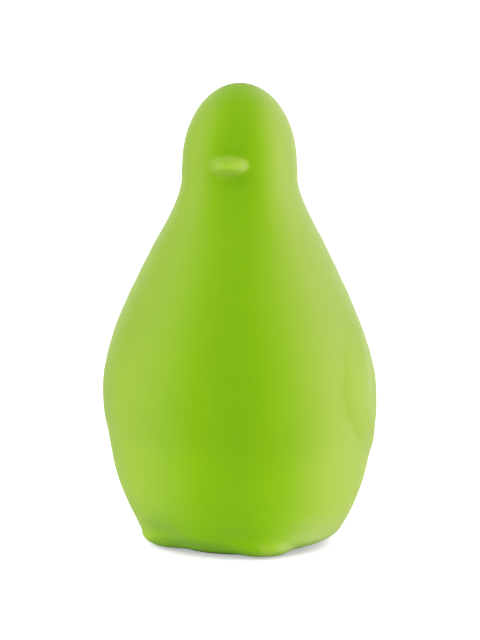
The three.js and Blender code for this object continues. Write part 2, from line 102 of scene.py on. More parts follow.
# ---------------------------------------------------------------- body form
def curve(points):
    """a monotone cubic through the points, held level past both ends"""
    xs, ys = np.array(points, float).T
    gaps = np.diff(xs)
    rises = np.diff(ys) / gaps
    slopes = np.zeros(len(xs))
    for i in range(1, len(xs) - 1):
        if rises[i - 1] * rises[i] > 0:
            before, after = 2 * gaps[i] + gaps[i - 1], gaps[i] + 2 * gaps[i - 1]
            slopes[i] = (before + after) / (before / rises[i - 1] + after / rises[i])
    slopes[0], slopes[-1] = rises[0], rises[-1]

    def value(x):
        x = np.clip(x, xs[0], xs[-1])
        i = np.clip(np.searchsorted(xs, x, side="right") - 1, 0, len(xs) - 2)
        t = (x - xs[i]) / gaps[i]
        t2, t3 = t * t, t * t * t
        return ((2 * t3 - 3 * t2 + 1) * ys[i] + (t3 - 2 * t2 + t) * gaps[i] * slopes[i]
                + (-2 * t3 + 3 * t2) * ys[i + 1] + (t3 - t2) * gaps[i] * slopes[i + 1])
    return value


radius, lean_from_axis, depth = map(curve, (PROFILE, LEAN, DEPTH))
flipper_front, flipper_rear = map(curve, (FLIPPER_FRONT, FLIPPER_REAR))


def centre_y(z):
    return lean_from_axis(z) + AXIS_Y


HEAD_Y = centre_y(HEAD_Z)


def smooth_step(t):
    t = np.clip(t, 0, 1)
    return t * t * (3 - 2 * t)


def smooth_min(a, b, width):
    share = np.clip(0.5 + 0.5 * (b - a) / width, 0, 1)
    return b * (1 - share) + a * share - width * share * (1 - share)


# Each solid below returns roughly the distance to its surface, negative inside.
def ellipsoid(x, y, z, half_size):
    across, along, up = half_size
    k0 = np.sqrt((x / across) ** 2 + (y / along) ** 2 + (z / up) ** 2)
    k1 = np.sqrt((x / across ** 2) ** 2 + (y / along ** 2) ** 2 + (z / up ** 2) ** 2) + 1e-9
    return k0 * (k0 - 1) / k1


def shares(x, y, z, half_size):
    return [np.abs(value) / half + 1e-9 for value, half in zip((x, y, z), half_size)]


def wedge(x, y, z, half_size, powers, tip):
    """lengthwise power p, cross-section power q, with the point along y rounded by tip"""
    width, length, height = half_size
    p, q = powers
    across, along, up = shares(x, y, z, half_size)
    section = (across ** q + up ** q) ** (1 / q)
    blunt = np.sqrt(section * section + tip * tip)
    whole = (blunt ** p + along ** p) ** (1 / p)
    section_slope = (blunt / whole) ** (p - 1) * section / blunt
    slope_y = (along / whole) ** (p - 1) / length
    slope_x = section_slope * (across / section) ** (q - 1) / width
    slope_z = section_slope * (up / section) ** (q - 1) / height
    return (whole - 1) / np.sqrt(slope_x * slope_x + slope_y * slope_y + slope_z * slope_z)


def pad(x, y, z, half_size, powers):
    """plan outline power p, upright power q"""
    width, length, height = half_size
    p, q = powers
    across, along, up = shares(x, y, z, half_size)
    plan = (across ** p + along ** p) ** (1 / p)
    whole = (plan ** q + up ** q) ** (1 / q)
    plan_slope = (plan / whole) ** (q - 1)
    slope_z = (up / whole) ** (q - 1) / height
    slope_x = plan_slope * (across / plan) ** (p - 1) / width
    slope_y = plan_slope * (along / plan) ** (p - 1) / length
    return (whole - 1) / np.sqrt(slope_x * slope_x + slope_y * slope_y + slope_z * slope_z)


def flipper_relief(angle, z, body_radius):
    arc = body_radius * PI / 180
    from_front = (angle - flipper_front(z)) * arc
    from_rear = (flipper_rear(z) - angle) * arc
    inward = smooth_min(from_front, from_rear, FLIPPER.soft)
    shoulder = (inward + np.sqrt(inward * inward + FLIPPER.edge ** 2)) / (2 * FLIPPER.ramp)
    shoulder = np.minimum(shoulder, 1)
    behind = (from_front - FLIPPER.drop_start * FLIPPER.ramp) / FLIPPER.fade
    height = (FLIPPER.lift * smooth_step((FLIPPER.top - z) / FLIPPER.top_fade)
              * smooth_step((z - FLIPPER.tip) / FLIPPER.grow))
    return height * (1 - (1 - shoulder) ** 2) * (1 - FLIPPER.drop * smooth_step(behind))


def dent(angle, z):
    arch = ARCH.deep * np.exp(-(angle / ARCH.wide) ** 4 - ((z - ARCH.z) / ARCH.tall) ** 2)
    instep = INSTEP.deep * np.exp(-((angle - INSTEP.at) / INSTEP.wide) ** 2
                                  - ((z - INSTEP.z) / INSTEP.tall) ** 2)
    return arch + instep


def foot(x, y, z, side):
    turn = math.radians(side * FOOT.splay)
    toe_x, toe_y = math.sin(turn), -math.cos(turn)
    along, across = x * toe_x + y * toe_y, -x * toe_y + y * toe_x
    up = z - FOOT.z
    up = np.where(up < 0, up * FOOT.half_size[2] / FOOT.half_height_below, up)
    return pad(across, along - FOOT.reach, up, FOOT.half_size, FOOT.powers)


def beak(x, y, z):
    turn = math.radians(BEAK.turn)
    across = x * math.cos(turn) + y * math.sin(turn)
    along = -x * math.sin(turn) + y * math.cos(turn)
    return wedge(across, along + BEAK.reach, z - BEAK.z, BEAK.half_size, BEAK.powers, BEAK.tip)


def tail(x, y, z):
    along = y - TAIL.y
    return ellipsoid(x, along, z - (TAIL.z - TAIL.fall * along), TAIL.half_size)


def form(x, y, z):
    """the whole outer form"""
    axis_y, section_y = y - AXIS_Y, (y - centre_y(z)) / depth(z)
    body_radius = radius(z)
    slope = np.clip((radius(z + 0.3) - radius(z - 0.3)) / 0.6, -1.5, 1.5)
    angle = np.degrees(np.arctan2(np.abs(x), -section_y))
    low, high = FLIPPER.span
    relief = np.where((z > low) & (z < high), flipper_relief(angle, z, body_radius), 0)
    relief = relief - dent(angle, z)
    # the neck and head are a little squarer than round
    turn = math.radians(SQUARE.turn)
    power = 2 + SQUARE.extra_power * smooth_step((z - SQUARE.z) / SQUARE.over)
    across = np.abs(x * math.cos(turn) + section_y * math.sin(turn)) + 1e-6
    along = np.abs(section_y * math.cos(turn) - x * math.sin(turn)) + 1e-6
    from_centre = (across ** power + along ** power) ** (1 / power)
    trunk = (from_centre - body_radius - relief) / np.sqrt(1 + slope * slope)
    crown = ellipsoid(from_centre, 0, z - HEAD_Z, (HEAD_R, HEAD_R, HEAD_H))
    solid = np.where(z >= HEAD_Z, crown, trunk)
    solid = smooth_min(solid, beak(x, axis_y, z), BEAK.blend)
    for side in (1, -1):
        solid = smooth_min(solid, foot(x, axis_y, z, side), FOOT.blend)
    return smooth_min(solid, tail(x, axis_y, z), TAIL.blend)


def points_on_form(origin, direction, outer, inner, steps):
    """steps inwards along each ray to the first point inside the form, then halves the gap"""
    def along_ray(r):
        return [start + part * r for start, part in zip(origin, direction)]

    step = (outer - inner) / steps
    shape = direction[0].shape
    low, high, found = np.full(shape, inner), np.full(shape, outer), np.zeros(shape, bool)
    for i in range(steps + 1):
        r = outer - i * step
        new = (~found) & (form(*along_ray(r)) < 0)
        low[new], high[new] = r, r + step
        found |= new
        if found.all():
            break
    for _ in range(20):
        middle = (low + high) / 2
        inside = form(*along_ray(middle)) < 0
        low, high = np.where(inside, middle, low), np.where(inside, high, middle)
    return np.stack(along_ray((low + high) / 2), -1)


def round_angles(count):
    """angles round from the front, counted towards +X"""
    return np.linspace(0, 2 * PI, count, endpoint=False)


def skin_rings(heights, count):
    z, angle = np.meshgrid(heights, round_angles(count), indexing="ij")
    return points_on_form((0.0, centre_y(z), z), (np.sin(angle), -np.cos(angle), 0.0),
                          outer=64.0, inner=3.0, steps=100)


def crown_rings(elevations, count):
    up, angle = np.meshgrid(np.radians(elevations), round_angles(count), indexing="ij")
    direction = (np.sin(angle) * np.cos(up), -np.cos(angle) * np.cos(up), np.sin(up))
    return points_on_form((0.0, HEAD_Y, HEAD_Z), direction, outer=44.0, inner=10.0, steps=80)


def circle(r, z, count, y=AXIS_Y, ratio=1.0):
    angle = round_angles(count)
    return np.stack([r * np.sin(angle), y - r * np.cos(angle) * ratio,
                     np.full(count, float(z))], -1)


# ---------------------------------------------------------------- mesh making
def shade(mesh, sharp):
    """smooth shaded, except past this many degrees"""
    mesh.polygons.foreach_set("use_smooth", [True] * len(mesh.polygons))
    mesh.set_sharp_from_angle(angle=math.radians(sharp))


def new_mesh(name, points, faces, sharp):
    """points in millimetres; faces are turned outward"""
    points = (np.asarray(points, float) * 1e-3).tolist()
    corners = [Vector(p) for p in points]
    volume = 0.0
    # a sample of the faces is enough to tell the sign of the volume
    for face in faces[:: max(1, len(faces) // 20000)]:
        for k in range(1, len(face) - 1):
            a, b, c = (corners[i] for i in (face[0], face[k], face[k + 1]))
            volume += a.dot(b.cross(c))
    if volume < 0:
        faces = [tuple(reversed(face)) for face in faces]
    mesh = bpy.data.meshes.new(name)
    mesh.from_pydata(points, [], faces)
    mesh.update()
    shade(mesh, sharp)
    piece = bpy.data.objects.new(name, mesh)
    scene.collection.objects.link(piece)
    return piece


def rings_mesh(name, rings, start=None, end=None, closed=False, sharp=40):
    """joins rings of points; a ring may have half the points of the one before.

    start and end are single points that close the first and last ring.
    """
    points, faces, firsts = [], [], []
    for ring_points in rings:
        firsts.append(len(points))
        points.extend(map(tuple, ring_points))
    pairs = [(i, i + 1) for i in range(len(rings) - 1)]
    if closed:
        pairs.append((len(rings) - 1, 0))
    for i, k in pairs:
        a, b, count_a, count_b = firsts[i], firsts[k], len(rings[i]), len(rings[k])
        for j in range(count_b):
            b0, b1 = b + j, b + (j + 1) % count_b
            if count_a == count_b:
                faces.append((a + j, b0, b1, a + (j + 1) % count_a))
            else:
                a0, a1, a2 = a + 2 * j, a + 2 * j + 1, a + (2 * j + 2) % count_a
                faces += [(a0, b0, a1), (a1, b0, b1), (a1, b1, a2)]
    if start is not None:
        points.append(tuple(start))
        count, tip = len(rings[0]), len(points) - 1
        faces += [(tip, firsts[0] + j, firsts[0] + (j + 1) % count) for j in range(count)]
    if end is not None:
        points.append(tuple(end))
        count, tip = len(rings[-1]), len(points) - 1
        faces += [(firsts[-1] + j, tip, firsts[-1] + (j + 1) % count) for j in range(count)]
    return new_mesh(name, points, faces, sharp)


def fillet(points, rounding, closed=False, steps=3):
    """rounds the corners of an outline; a point may carry its own rounding as a third number"""
    outline, count = [], len(points)
    for i, point in enumerate(points):
        own = point[2] if len(point) > 2 else rounding
        if (not closed and i in (0, count - 1)) or own <= 0:
            outline.append((point[0], point[1]))
            continue
        corner, before, after = (np.array(p[:2], float)
                                 for p in (point, points[i - 1], points[(i + 1) % count]))
        back, ahead = before - corner, after - corner
        back_length, ahead_length = np.linalg.norm(back), np.linalg.norm(ahead)
        back, ahead = back / back_length, ahead / ahead_length
        angle = math.acos(float(np.clip(back @ ahead, -1, 1)))
        if angle > PI - 0.05:
            outline.append((point[0], point[1]))
            continue
        trim = min(own / math.tan(angle / 2), 0.45 * back_length, 0.45 * ahead_length)
        for k in range(steps + 1):
            t = k / steps
            a, b = corner + back * trim * (1 - t), corner + ahead * trim * t
            mid = a * (1 - t) + b * t
            outline.append((float(mid[0]), float(mid[1])))
    return outline


def circles(outline, count):
    return [circle(r, z, count) for r, z in outline]


def turned(name, points, rounding=0.2, count=128):
    """piece turned about the screw axis from (radius, height[, rounding]) points.

    The outline is closed, or open with both its ends on the axis.
    """
    on_axis = points[0][0] == 0
    outline = fillet(points, rounding, closed=not on_axis)
    if on_axis:
        start, end = ((0, AXIS_Y, outline[i][1]) for i in (0, -1))
        return rings_mesh(name, circles(outline[1:-1], count), start, end)
    return rings_mesh(name, circles(outline, count), closed=True)


def ring(name, inner, outer, bottom, top, rounding, count=128):
    corners = [(inner, bottom), (outer, bottom), (outer, top), (inner, top)]
    return turned(name, corners, rounding, count)


THREAD_SIDES = 160
THREAD_PITCH = 4.0
THREAD_ROOT_HALF, THREAD_CREST_HALF = 1.0, 0.6  # half the ridge's height at its root and crest
THREAD_RUN_OUT = 0.5  # radians over which each end of the ridge rises


def thread(heights, root, crest, start_z, turns):
    """rows of a barrel of radius root, with a helical ridge that reaches radius crest"""
    rows = [circle(root, z, THREAD_SIDES) for z in heights]
    for row in rows:
        x, y, z = row[:, 0], row[:, 1] - AXIS_Y, row[:, 2]
        angle = np.arctan2(y, x)
        turn = np.round((z - start_z - THREAD_PITCH * angle / (2 * PI)) / THREAD_PITCH)
        total = angle + 2 * PI * turn
        off = np.abs(z - start_z - THREAD_PITCH * total / (2 * PI))
        ridge = np.clip((THREAD_ROOT_HALF - off) / (THREAD_ROOT_HALF - THREAD_CREST_HALF), 0, 1)
        ridge = ridge * smooth_step(total / THREAD_RUN_OUT)
        ridge = ridge * smooth_step((turns * 2 * PI - total) / THREAD_RUN_OUT)
        r = root + (crest - root) * ridge
        row[:, 0], row[:, 1] = r * np.cos(angle), AXIS_Y + r * np.sin(angle)
    return rows


def cut(piece, cutter):
    modifier = piece.modifiers.new("cut", "BOOLEAN")
    modifier.operation, modifier.solver, modifier.object = "DIFFERENCE", "EXACT", cutter
    evaluated = piece.evaluated_get(bpy.context.evaluated_depsgraph_get())
    mesh = bpy.data.meshes.new_from_object(evaluated)
    piece.modifiers.clear()
    uncut, piece.data = piece.data, mesh
    bpy.data.meshes.remove(uncut)
    bpy.data.objects.remove(cutter)
    shade(mesh, 40)
    return piece


# ---------------------------------------------------------------- pieces
def body_skin():
    """from the top of the crown down the outside, in through the opening and up the cavity"""
    count, cavity_count = 288, 144
    elevations = np.concatenate([np.linspace(88, 20, 38), np.linspace(18.6, 0.7, 24)])
    heights = np.concatenate([
        np.linspace(HEAD_Z, 140, 22), np.linspace(139.2, 30, 140), np.linspace(29.2, 14, 26),
        np.linspace(13.4, 3.0, 32), np.linspace(2.8, 1.35, 9), [1.18, 1.06, SOLE_Z]])
    rings = list(crown_rings(elevations, count)) + list(skin_rings(heights, count))
    rings += circles([
        (GROOVE_R + 0.15, SOLE_Z), (GROOVE_R, SOLE_Z + 0.15), (GROOVE_R, GROOVE_Z),
        (CBORE_R, GROOVE_Z), (CBORE_R, CBORE_Z),
        (OPENING_R + 0.2, CBORE_Z), (OPENING_R, CBORE_Z + 0.2), (OPENING_R, FLOOR_Z)], count)
    rings.append(circle(CAVITY_FLOOR_R, FLOOR_Z, cavity_count, centre_y(FLOOR_Z)))
    for z in np.concatenate([np.linspace(9.5, 144, 50), [HEAD_Z]]):
        rings.append(circle(radius(z) - WALL, z, cavity_count, centre_y(z), depth(z)))
    for up in np.radians(np.linspace(8, 82, 11)):
        rings.append(circle((HEAD_R - WALL) * math.cos(up),
                            HEAD_Z + (HEAD_H - WALL) * math.sin(up), cavity_count, HEAD_Y))
    top = HEAD_Z + HEAD_H
    return rings_mesh("body_skin", rings, (0, HEAD_Y, top), (0, HEAD_Y, top - WALL), sharp=50)


def collar_fine():
    """flanged sleeve with its thread on the inside"""
    bore, crest = 18.3, 17.1
    outside = fillet([(22.9, 1.9), (22.9, 4.4), (19.9, 4.4), (19.9, 20.0), (bore, 20.0)], 0.3)
    rows = thread(np.linspace(18.8, 5.2, 100), bore, crest, start_z=7.0, turns=2.5)
    mouth = fillet([(bore, 4.6), (bore, 3.0), (21.3, 3.0), (21.3, 1.9)], 0.25)
    rings = circles(outside, THREAD_SIDES) + rows + circles(mouth, THREAD_SIDES)
    return rings_mesh("collar_fine", rings, closed=True)


def slot_cutter():
    """round-ended coin slot with a little draft"""
    half_width = 1.3
    straight = 26.0 / 2 - half_width
    rings = []
    # height, share of the slot's width
    for z, share in ((0.0, 1.25), (0.6, 1.02), (1.5, 0.92), (1.6, 0.84)):
        r = half_width * share
        rings.append([(end_x + r * math.cos(t), AXIS_Y + r * math.sin(t), z)
                      for end_x, first in ((straight, -PI / 2), (-straight, PI / 2))
                      for t in np.linspace(first, first + PI, 17)])
    return rings_mesh("slot_cutter", rings, (0, AXIS_Y, 0.0), (0, AXIS_Y, 1.6))


def screw_base_fine():
    """threaded cup with a central post, and a slot across its underside"""
    barrel, crest, bottom, post_hole_floor = 16.8, 18.0, 0.6, 9.0
    underside = fillet([
        (0, bottom), (17.6, bottom, 0.3), (18.0, 0.85, 0.2), (18.6, 0.85, 0.2),
        (19.0, bottom, 0.3), (20.9, bottom, 0.5), (20.9, 2.0), (barrel, 2.0, 0.15),
        (barrel, 3.4)], 0.2)[1:]
    rows = thread(np.linspace(3.6, 18.6, 108), barrel, crest, start_z=5.0, turns=3.0)
    inside = fillet([
        (barrel, 18.9), (barrel, 20.1, 0.5), (14.2, 20.1, 0.2), (14.2, 2.6), (3.0, 2.6, 0.4),
        (3.0, 20.0, 0.3), (1.2, 20.0, 0.15), (1.2, post_hole_floor),
        (0, post_hole_floor)], 0.3)[:-1]
    rings = circles(underside, THREAD_SIDES) + rows + circles(inside, THREAD_SIDES)
    base = rings_mesh("screw_base_fine", rings,
                      (0, AXIS_Y, bottom), (0, AXIS_Y, post_hole_floor))
    return cut(base, slot_cutter())


def screw_fine():
    """domed screw with a cross recess"""
    screw = turned("lid_screw_fine", [
        (0, 10.5), (0.45, 10.5, 0.1), (1.1, 11.5, 0.2), (1.1, 22.7, 0.05), (2.7, 22.7, 0.15),
        (2.7, 23.5, 0.3), (2.2, 24.1, 0.4), (1.2, 24.4, 0.5), (0, 24.4)], count=48)
    bottom, top = 23.6, 24.5
    rings = []
    # height, half the width of an arm, reach of an arm
    for z, w, reach in ((bottom, 0.24, 1.1), (top, 0.38, 1.5)):
        cross = [(reach, -w), (reach, w), (w, w), (w, reach), (-w, reach), (-w, w),
                 (-reach, w), (-reach, -w), (-w, -w), (-w, -reach), (w, -reach), (w, -w)]
        rings.append([(x, AXIS_Y + y, z) for x, y in cross])
    return cut(screw, rings_mesh("recess_cutter", rings, (0, AXIS_Y, bottom), (0, AXIS_Y, top)))


def grip_ring_fine():
    """two shallow grooves run round the underside, between three treads"""
    inner, outer, top, groove_depth = 21.5, 25.4, 1.65, 0.35
    points = [(inner, 0.0, 0.3)]
    for r in (22.8, 24.1):
        points += [(r - 0.34, 0.0, 0.12), (r - 0.2, groove_depth, 0.1),
                   (r + 0.2, groove_depth, 0.1), (r + 0.34, 0.0, 0.12)]
    points += [(outer, 0.0, 0.35), (outer, top, 0.2), (inner, top, 0.2)]
    return turned("grip_ring_fine", points, count=192)


def cup_lid_fine():
    """flat annular lid with a shallow recess round its top"""
    inner, outer, bottom, recess, top = 1.7, 16.6, 20.2, 21.7, 22.0
    return turned("cup_lid_fine", [
        (inner, bottom, 0.1), (outer, bottom, 0.15), (outer, 21.4, 0.4), (16.0, top, 0.4),
        (13.0, top, 0.2), (12.4, recess, 0.2), (5.6, recess, 0.2), (5.0, top, 0.2),
        (inner, top, 0.15)])


# ---------------------------------------------------------------- shader building
class Shader:
    """adds nodes to a tree; an input may be given as a value or as a socket to link from"""

    def __init__(self, tree):
        self.tree = tree

    def feed(self, node, inputs):
        for key, value in inputs.items():
            if isinstance(value, bpy.types.NodeSocket):
                self.tree.links.new(value, node.inputs[key])
            else:
                node.inputs[key].default_value = value

    def add(self, kind, inputs=None, **settings):
        node = self.tree.nodes.new("ShaderNode" + kind)
        for key, value in settings.items():
            setattr(node, key, value)
        self.feed(node, inputs or {})
        return node

    def math(self, operation, *values, **settings):
        inputs = dict(enumerate(values))
        return self.add("Math", inputs, operation=operation, **settings).outputs[0]

    def vector_math(self, operation, *values):
        return self.add("VectorMath", dict(enumerate(values)), operation=operation).outputs

    def length(self, vector):
        return self.vector_math("LENGTH", vector)["Value"]

    def object_place(self):
        return self.add("TexCoord").outputs["Object"]

    def noise(self, scale, detail, roughness=0.5):
        return self.add("TexNoise", {"Vector": self.object_place(), "Scale": scale,
                                     "Detail": detail, "Roughness": roughness}).outputs["Fac"]

    def ramp(self, source, stops):
        """stops are (position, (red, green, blue))"""
        node = self.add("ValToRGB", {"Fac": source})
        elements = node.color_ramp.elements
        while len(elements) < len(stops):
            elements.new(1.0)
        for k, (position, colour) in enumerate(stops):
            elements[k].position, elements[k].color = position, (*colour, 1)
        return node.outputs["Color"]

    def between(self, source, first, second):
        """a ramp over the middle of a noise's range"""
        return self.ramp(source, [(0.3, first), (0.7, second)])

    def tone(self, source, colours):
        return self.ramp(source, list(zip(TONE_AT, colours)))

    def remap(self, value, from_range, to_range=(0.0, 1.0), kind="SMOOTHSTEP"):
        inputs = dict(enumerate((value, *from_range, *to_range)))
        return self.add("MapRange", inputs, interpolation_type=kind).outputs[0]

    def mix(self, factor, first, second, blend="MIX"):
        return self.add("Mix", {0: factor, 6: first, 7: second},
                        data_type="RGBA", blend_type=blend).outputs[2]

    def tint(self, base, colour, turned_by, amounts, limits):
        """mixes in a colour by an amount for each of TONE_AT, times every limit"""
        amount = self.tone(turned_by, [(v,) * 3 for v in amounts])
        for limit in limits:
            amount = self.math("MULTIPLY", amount, limit)
        return self.mix(amount, base, (*colour, 1))

    def bump(self, height, strength, distance, under=None):
        inputs = {"Strength": strength, "Distance": distance, "Height": height}
        if under is not None:
            inputs["Normal"] = under
        return self.add("Bump", inputs).outputs["Normal"]


def new_material(name):
    material = bpy.data.materials.new(name)
    material.use_nodes = True
    return material, Shader(material.node_tree), material.node_tree.nodes["Principled BSDF"]


# ---------------------------------------------------------------- green skin settings
# how much facing up and facing down count as turning from the eye, against 1 for sideways
TURN_UP, TURN_DOWN = 0.57, -0.1
# colours by how far the skin turns from the eye, on its left and right as seen: the lime of the
# plastic where it faces the eye, and painted light towards the rims, paler on the right, standing
# in for the side lamps
TONE_AT = (0.0, 0.17, 0.34, 0.5, 0.64, 0.77, 0.87, 0.95, 1.0)
LIME_AND_PAINTED_LIGHT_LEFT = (
    (0.203, 0.476, 0.005), (0.209, 0.483, 0.004), (0.235, 0.509, 0.004),
    (0.27, 0.532, 0.023), (0.305, 0.542, 0.044), (0.321, 0.539, 0.043),
    (0.316, 0.522, 0.038), (0.296, 0.49, 0.03), (0.275, 0.455, 0.022))
LIME_AND_PAINTED_LIGHT_RIGHT = (
    (0.203, 0.476, 0.005), (0.232, 0.509, 0.004), (0.27, 0.539, 0.016),
    (0.341, 0.565, 0.053), (0.403, 0.591, 0.093), (0.428, 0.603, 0.115),
    (0.427, 0.597, 0.118), (0.425, 0.595, 0.115), (0.424, 0.593, 0.105))
# painted floor light: colour gain by height, as a share of GAIN_HEIGHT, paler low down
GAIN_HEIGHT = 0.1
PAINTED_FLOOR_LIGHT = ((0.015, (1.5, 1.44, 1.0)), (0.05, (1.32, 1.28, 0.95)), (0.2, (1.19, 1.18, 0.85)),
            (0.5, (1.07, 1.07, 0.9)), (0.9, (1.0, 1.0, 1.0)))
# painted shade: colour gain from facing straight down (0) to level (1), and the heights it fades
# out over
PAINTED_DOWN_SHADE = ((0.1, (0.72, 0.82, 0.5)), (0.45, (0.95, 0.98, 0.9)), (0.7, (1.0, 1.0, 1.0)))
DOWN_FADE = (0.02, 0.05)
# painted shade and highlights along the hem: amounts go with TONE_AT, and heights are what they
# fade out over
PAINTED_HEM_SHADE = Sizes(colour=(0.19, 0.47, 0.001), heights=(0.008, 0.024),
                 amounts=(0.0, 0.1, 0.3, 0.5, 0.5, 0.3, 0.1, 0.0, 0.0))
PAINTED_HEM_HIGHLIGHT = Sizes(colour=(0.58, 0.75, 0.26), heights=(0.006, 0.02),
                  amounts=(0.0, 0.0, 0.1, 0.42, 0.6, 0.4, 0.1, 0.0, 0.0))
PAINTED_TOE_HIGHLIGHT = Sizes(colour=(0.62, 0.72, 0.14), heights=(0.003, 0.009),
                amounts=(0.5, 0.35, 0.1, 0.0, 0.0, 0.0, 0.0, 0.0, 0.0))
# painted highlight on the beak, which fades in over these distances forward and these heights
BEAK_PAINTED_HIGHLIGHT = Sizes(colour=(0.41, 0.665, 0.06), forward=(0.0214, 0.0228), heights=(0.143, 0.1445),
                  amounts=(0.78, 0.78, 0.75, 0.55, 0.4, 0.3, 0.2, 0.1, 0.0))
# colour seen by diffuse light, and how much of it
BLEED_COLOUR, BLEED_CALM = (0.33, 0.36, 0.34, 1), 0.75
SKIN_ROUGHNESS, ROUGHNESS_SPREAD = 0.45, 0.025


# ---------------------------------------------------------------- materials
def turn_from_eye(shader, geometry):
    """how far the form turns from the eye (0 to 1), and how far to the right it faces (0 to 1)"""
    normal = geometry["Normal"]
    view = shader.add("VectorTransform", {0: normal}, vector_type="NORMAL",
                      convert_from="WORLD", convert_to="CAMERA").outputs[0]
    view = shader.add("SeparateXYZ", {0: view}).outputs
    # more by its width than by its height, and upwards more than down
    up, down = (shader.math("MULTIPLY", view[1], gain) for gain in (TURN_UP, TURN_DOWN))
    rise = shader.math("MAXIMUM", up, down)
    size = shader.length(shader.add("CombineXYZ", {0: view[0], 1: rise}).outputs[0])
    # kept off zero for the division
    safe = shader.math("MAXIMUM", size, 0.02)
    ratio = shader.math("DIVIDE", view[0], safe)
    rightward = shader.math("MULTIPLY_ADD", ratio, 0.5, 0.5, use_clamp=True)
    # limited by the true slant to the eye, so a view straight down on the skin is plain
    slant = shader.length(shader.vector_math("CROSS_PRODUCT", normal, geometry["Incoming"])[0])
    limit = shader.math("MULTIPLY", slant, 1.4)
    return shader.math("MINIMUM", size, limit), rightward


def moulded_green():
    """satin moulded plastic: saturated lime where it faces the eye, with painted light paler
    towards the rims and on the right as seen, painted light and shade low down and on the hem, toe
    and beak, and a trace of light carried under the skin"""
    material, shader, surface = new_material("moulded_green")
    geometry = shader.add("NewGeometry").outputs
    turned_by, right = turn_from_eye(shader, geometry)
    # painted light: paler towards the rims, more so on the right as seen
    painted_left_light, painted_right_light = (shader.tone(turned_by, t) for t in (LIME_AND_PAINTED_LIGHT_LEFT, LIME_AND_PAINTED_LIGHT_RIGHT))
    colour = shader.mix(right, painted_left_light, painted_right_light)

    # slight cloudiness of the pigment
    cloud = shader.between(shader.noise(scale=38, detail=2),
                           (0.975, 0.98, 0.975), (1.025, 1.02, 1.025))
    colour = shader.mix(1.0, colour, cloud, blend="MULTIPLY")

    # painted light and shade: the low part is painted paler as if lit by the bright floor, and
    # what faces down near it is painted darker
    height = shader.add("SeparateXYZ", {0: geometry["Position"]}).outputs[2]
    facing_up = shader.add("SeparateXYZ", {0: geometry["Normal"]}).outputs[2]
    for value, span, stops in ((height, (0.0, GAIN_HEIGHT), PAINTED_FLOOR_LIGHT),
                               (facing_up, (-1.0, 0.0), PAINTED_DOWN_SHADE)):
        gain = shader.ramp(shader.remap(value, span, kind="LINEAR"), stops)
        colour = shader.mix(1.0, colour, gain, blend="MULTIPLY")
    # the painted downward shade acts only near the floor
    shader.feed(colour.node, {0: shader.remap(height, DOWN_FADE, (1.0, 0.0))})

    # painted light along the hem: shade on the left side as seen, highlights on the right side and
    # the toe
    left = shader.math("SUBTRACT", 1.0, right)
    for side, hem in ((left, PAINTED_HEM_SHADE), (right, PAINTED_HEM_HIGHLIGHT), (right, PAINTED_TOE_HIGHLIGHT)):
        low = shader.remap(height, hem.heights, (1.0, 0.0))
        colour = shader.tint(colour, hem.colour, turned_by, hem.amounts, (side, low))

    # painted highlight: the beak is painted a little paler than the head behind it
    turn = math.radians(BEAK.turn)
    forward = shader.vector_math("DOT_PRODUCT", geometry["Position"],
                                 (math.sin(turn), -math.cos(turn), 0.0))["Value"]
    limits = [shader.remap(forward, BEAK_PAINTED_HIGHLIGHT.forward), shader.remap(height, BEAK_PAINTED_HIGHLIGHT.heights)]
    colour = shader.tint(colour, BEAK_PAINTED_HIGHLIGHT.colour, turned_by, BEAK_PAINTED_HIGHLIGHT.amounts, limits)

    # what it throws on the floor is kept close to neutral
    diffuse_ray = shader.add("LightPath").outputs["Is Diffuse Ray"]
    calm = shader.math("MULTIPLY", diffuse_ray, BLEED_CALM)
    colour = shader.mix(calm, colour, BLEED_COLOUR)

    roughness = shader.between(shader.noise(scale=260, detail=3),
                               (SKIN_ROUGHNESS - ROUGHNESS_SPREAD,) * 3,
                               (SKIN_ROUGHNESS + ROUGHNESS_SPREAD,) * 3)
    waviness = shader.bump(shader.noise(scale=45, detail=1), strength=0.12, distance=0.0006)
    grain = shader.bump(shader.noise(scale=3200, detail=2, roughness=0.6),
                        strength=0.10, distance=0.00004, under=waviness)
    shader.feed(surface, {
        "Base Color": colour,
        "Roughness": roughness,
        "Specular IOR Level": 0.5,
        "Specular Tint": (1.0, 0.75, 0.15, 1),
        "Subsurface Weight": 0.25,
        "Subsurface Radius": (1.0, 1.0, 1.0),
        "Subsurface Scale": 0.003,
        "Normal": grain})
    return material


def mottled(name, mottle, colours, grain, strength, distance, **values):
    """noise between two colours, with a grain bump; mottle and grain are noise settings"""
    material, shader, surface = new_material(name)
    colour = shader.between(shader.noise(**mottle), *colours)
    normal = shader.bump(shader.noise(**grain), strength, distance)
    shader.feed(surface, {"Base Color": colour, "Normal": normal})
    shader.feed(surface, {key.replace("_", " "): value for key, value in values.items()})
    return material


def inner_plastic():
    return mottled("inner_plastic", dict(scale=120, detail=3),
                   ((0.12, 0.26, 0.012), (0.15, 0.31, 0.018)),
                   grain=dict(scale=1800, detail=2, roughness=0.6),
                   strength=0.2, distance=0.00006, Roughness=0.5)


def rubber(name, colours, roughness):
    return mottled(name, dict(scale=300, detail=4), colours,
                   grain=dict(scale=2400, detail=3, roughness=0.7),
                   strength=0.35, distance=0.00008, Roughness=roughness,
                   Specular_IOR_Level=0.35, Sheen_Weight=0.15)


def zinc():
    return mottled("zinc_plate", dict(scale=500, detail=5),
                   ((0.55, 0.56, 0.56), (0.72, 0.73, 0.74)),
                   grain=dict(scale=1500, detail=2),
                   strength=0.1, distance=0.00003, Metallic=1.0, Roughness=0.3)


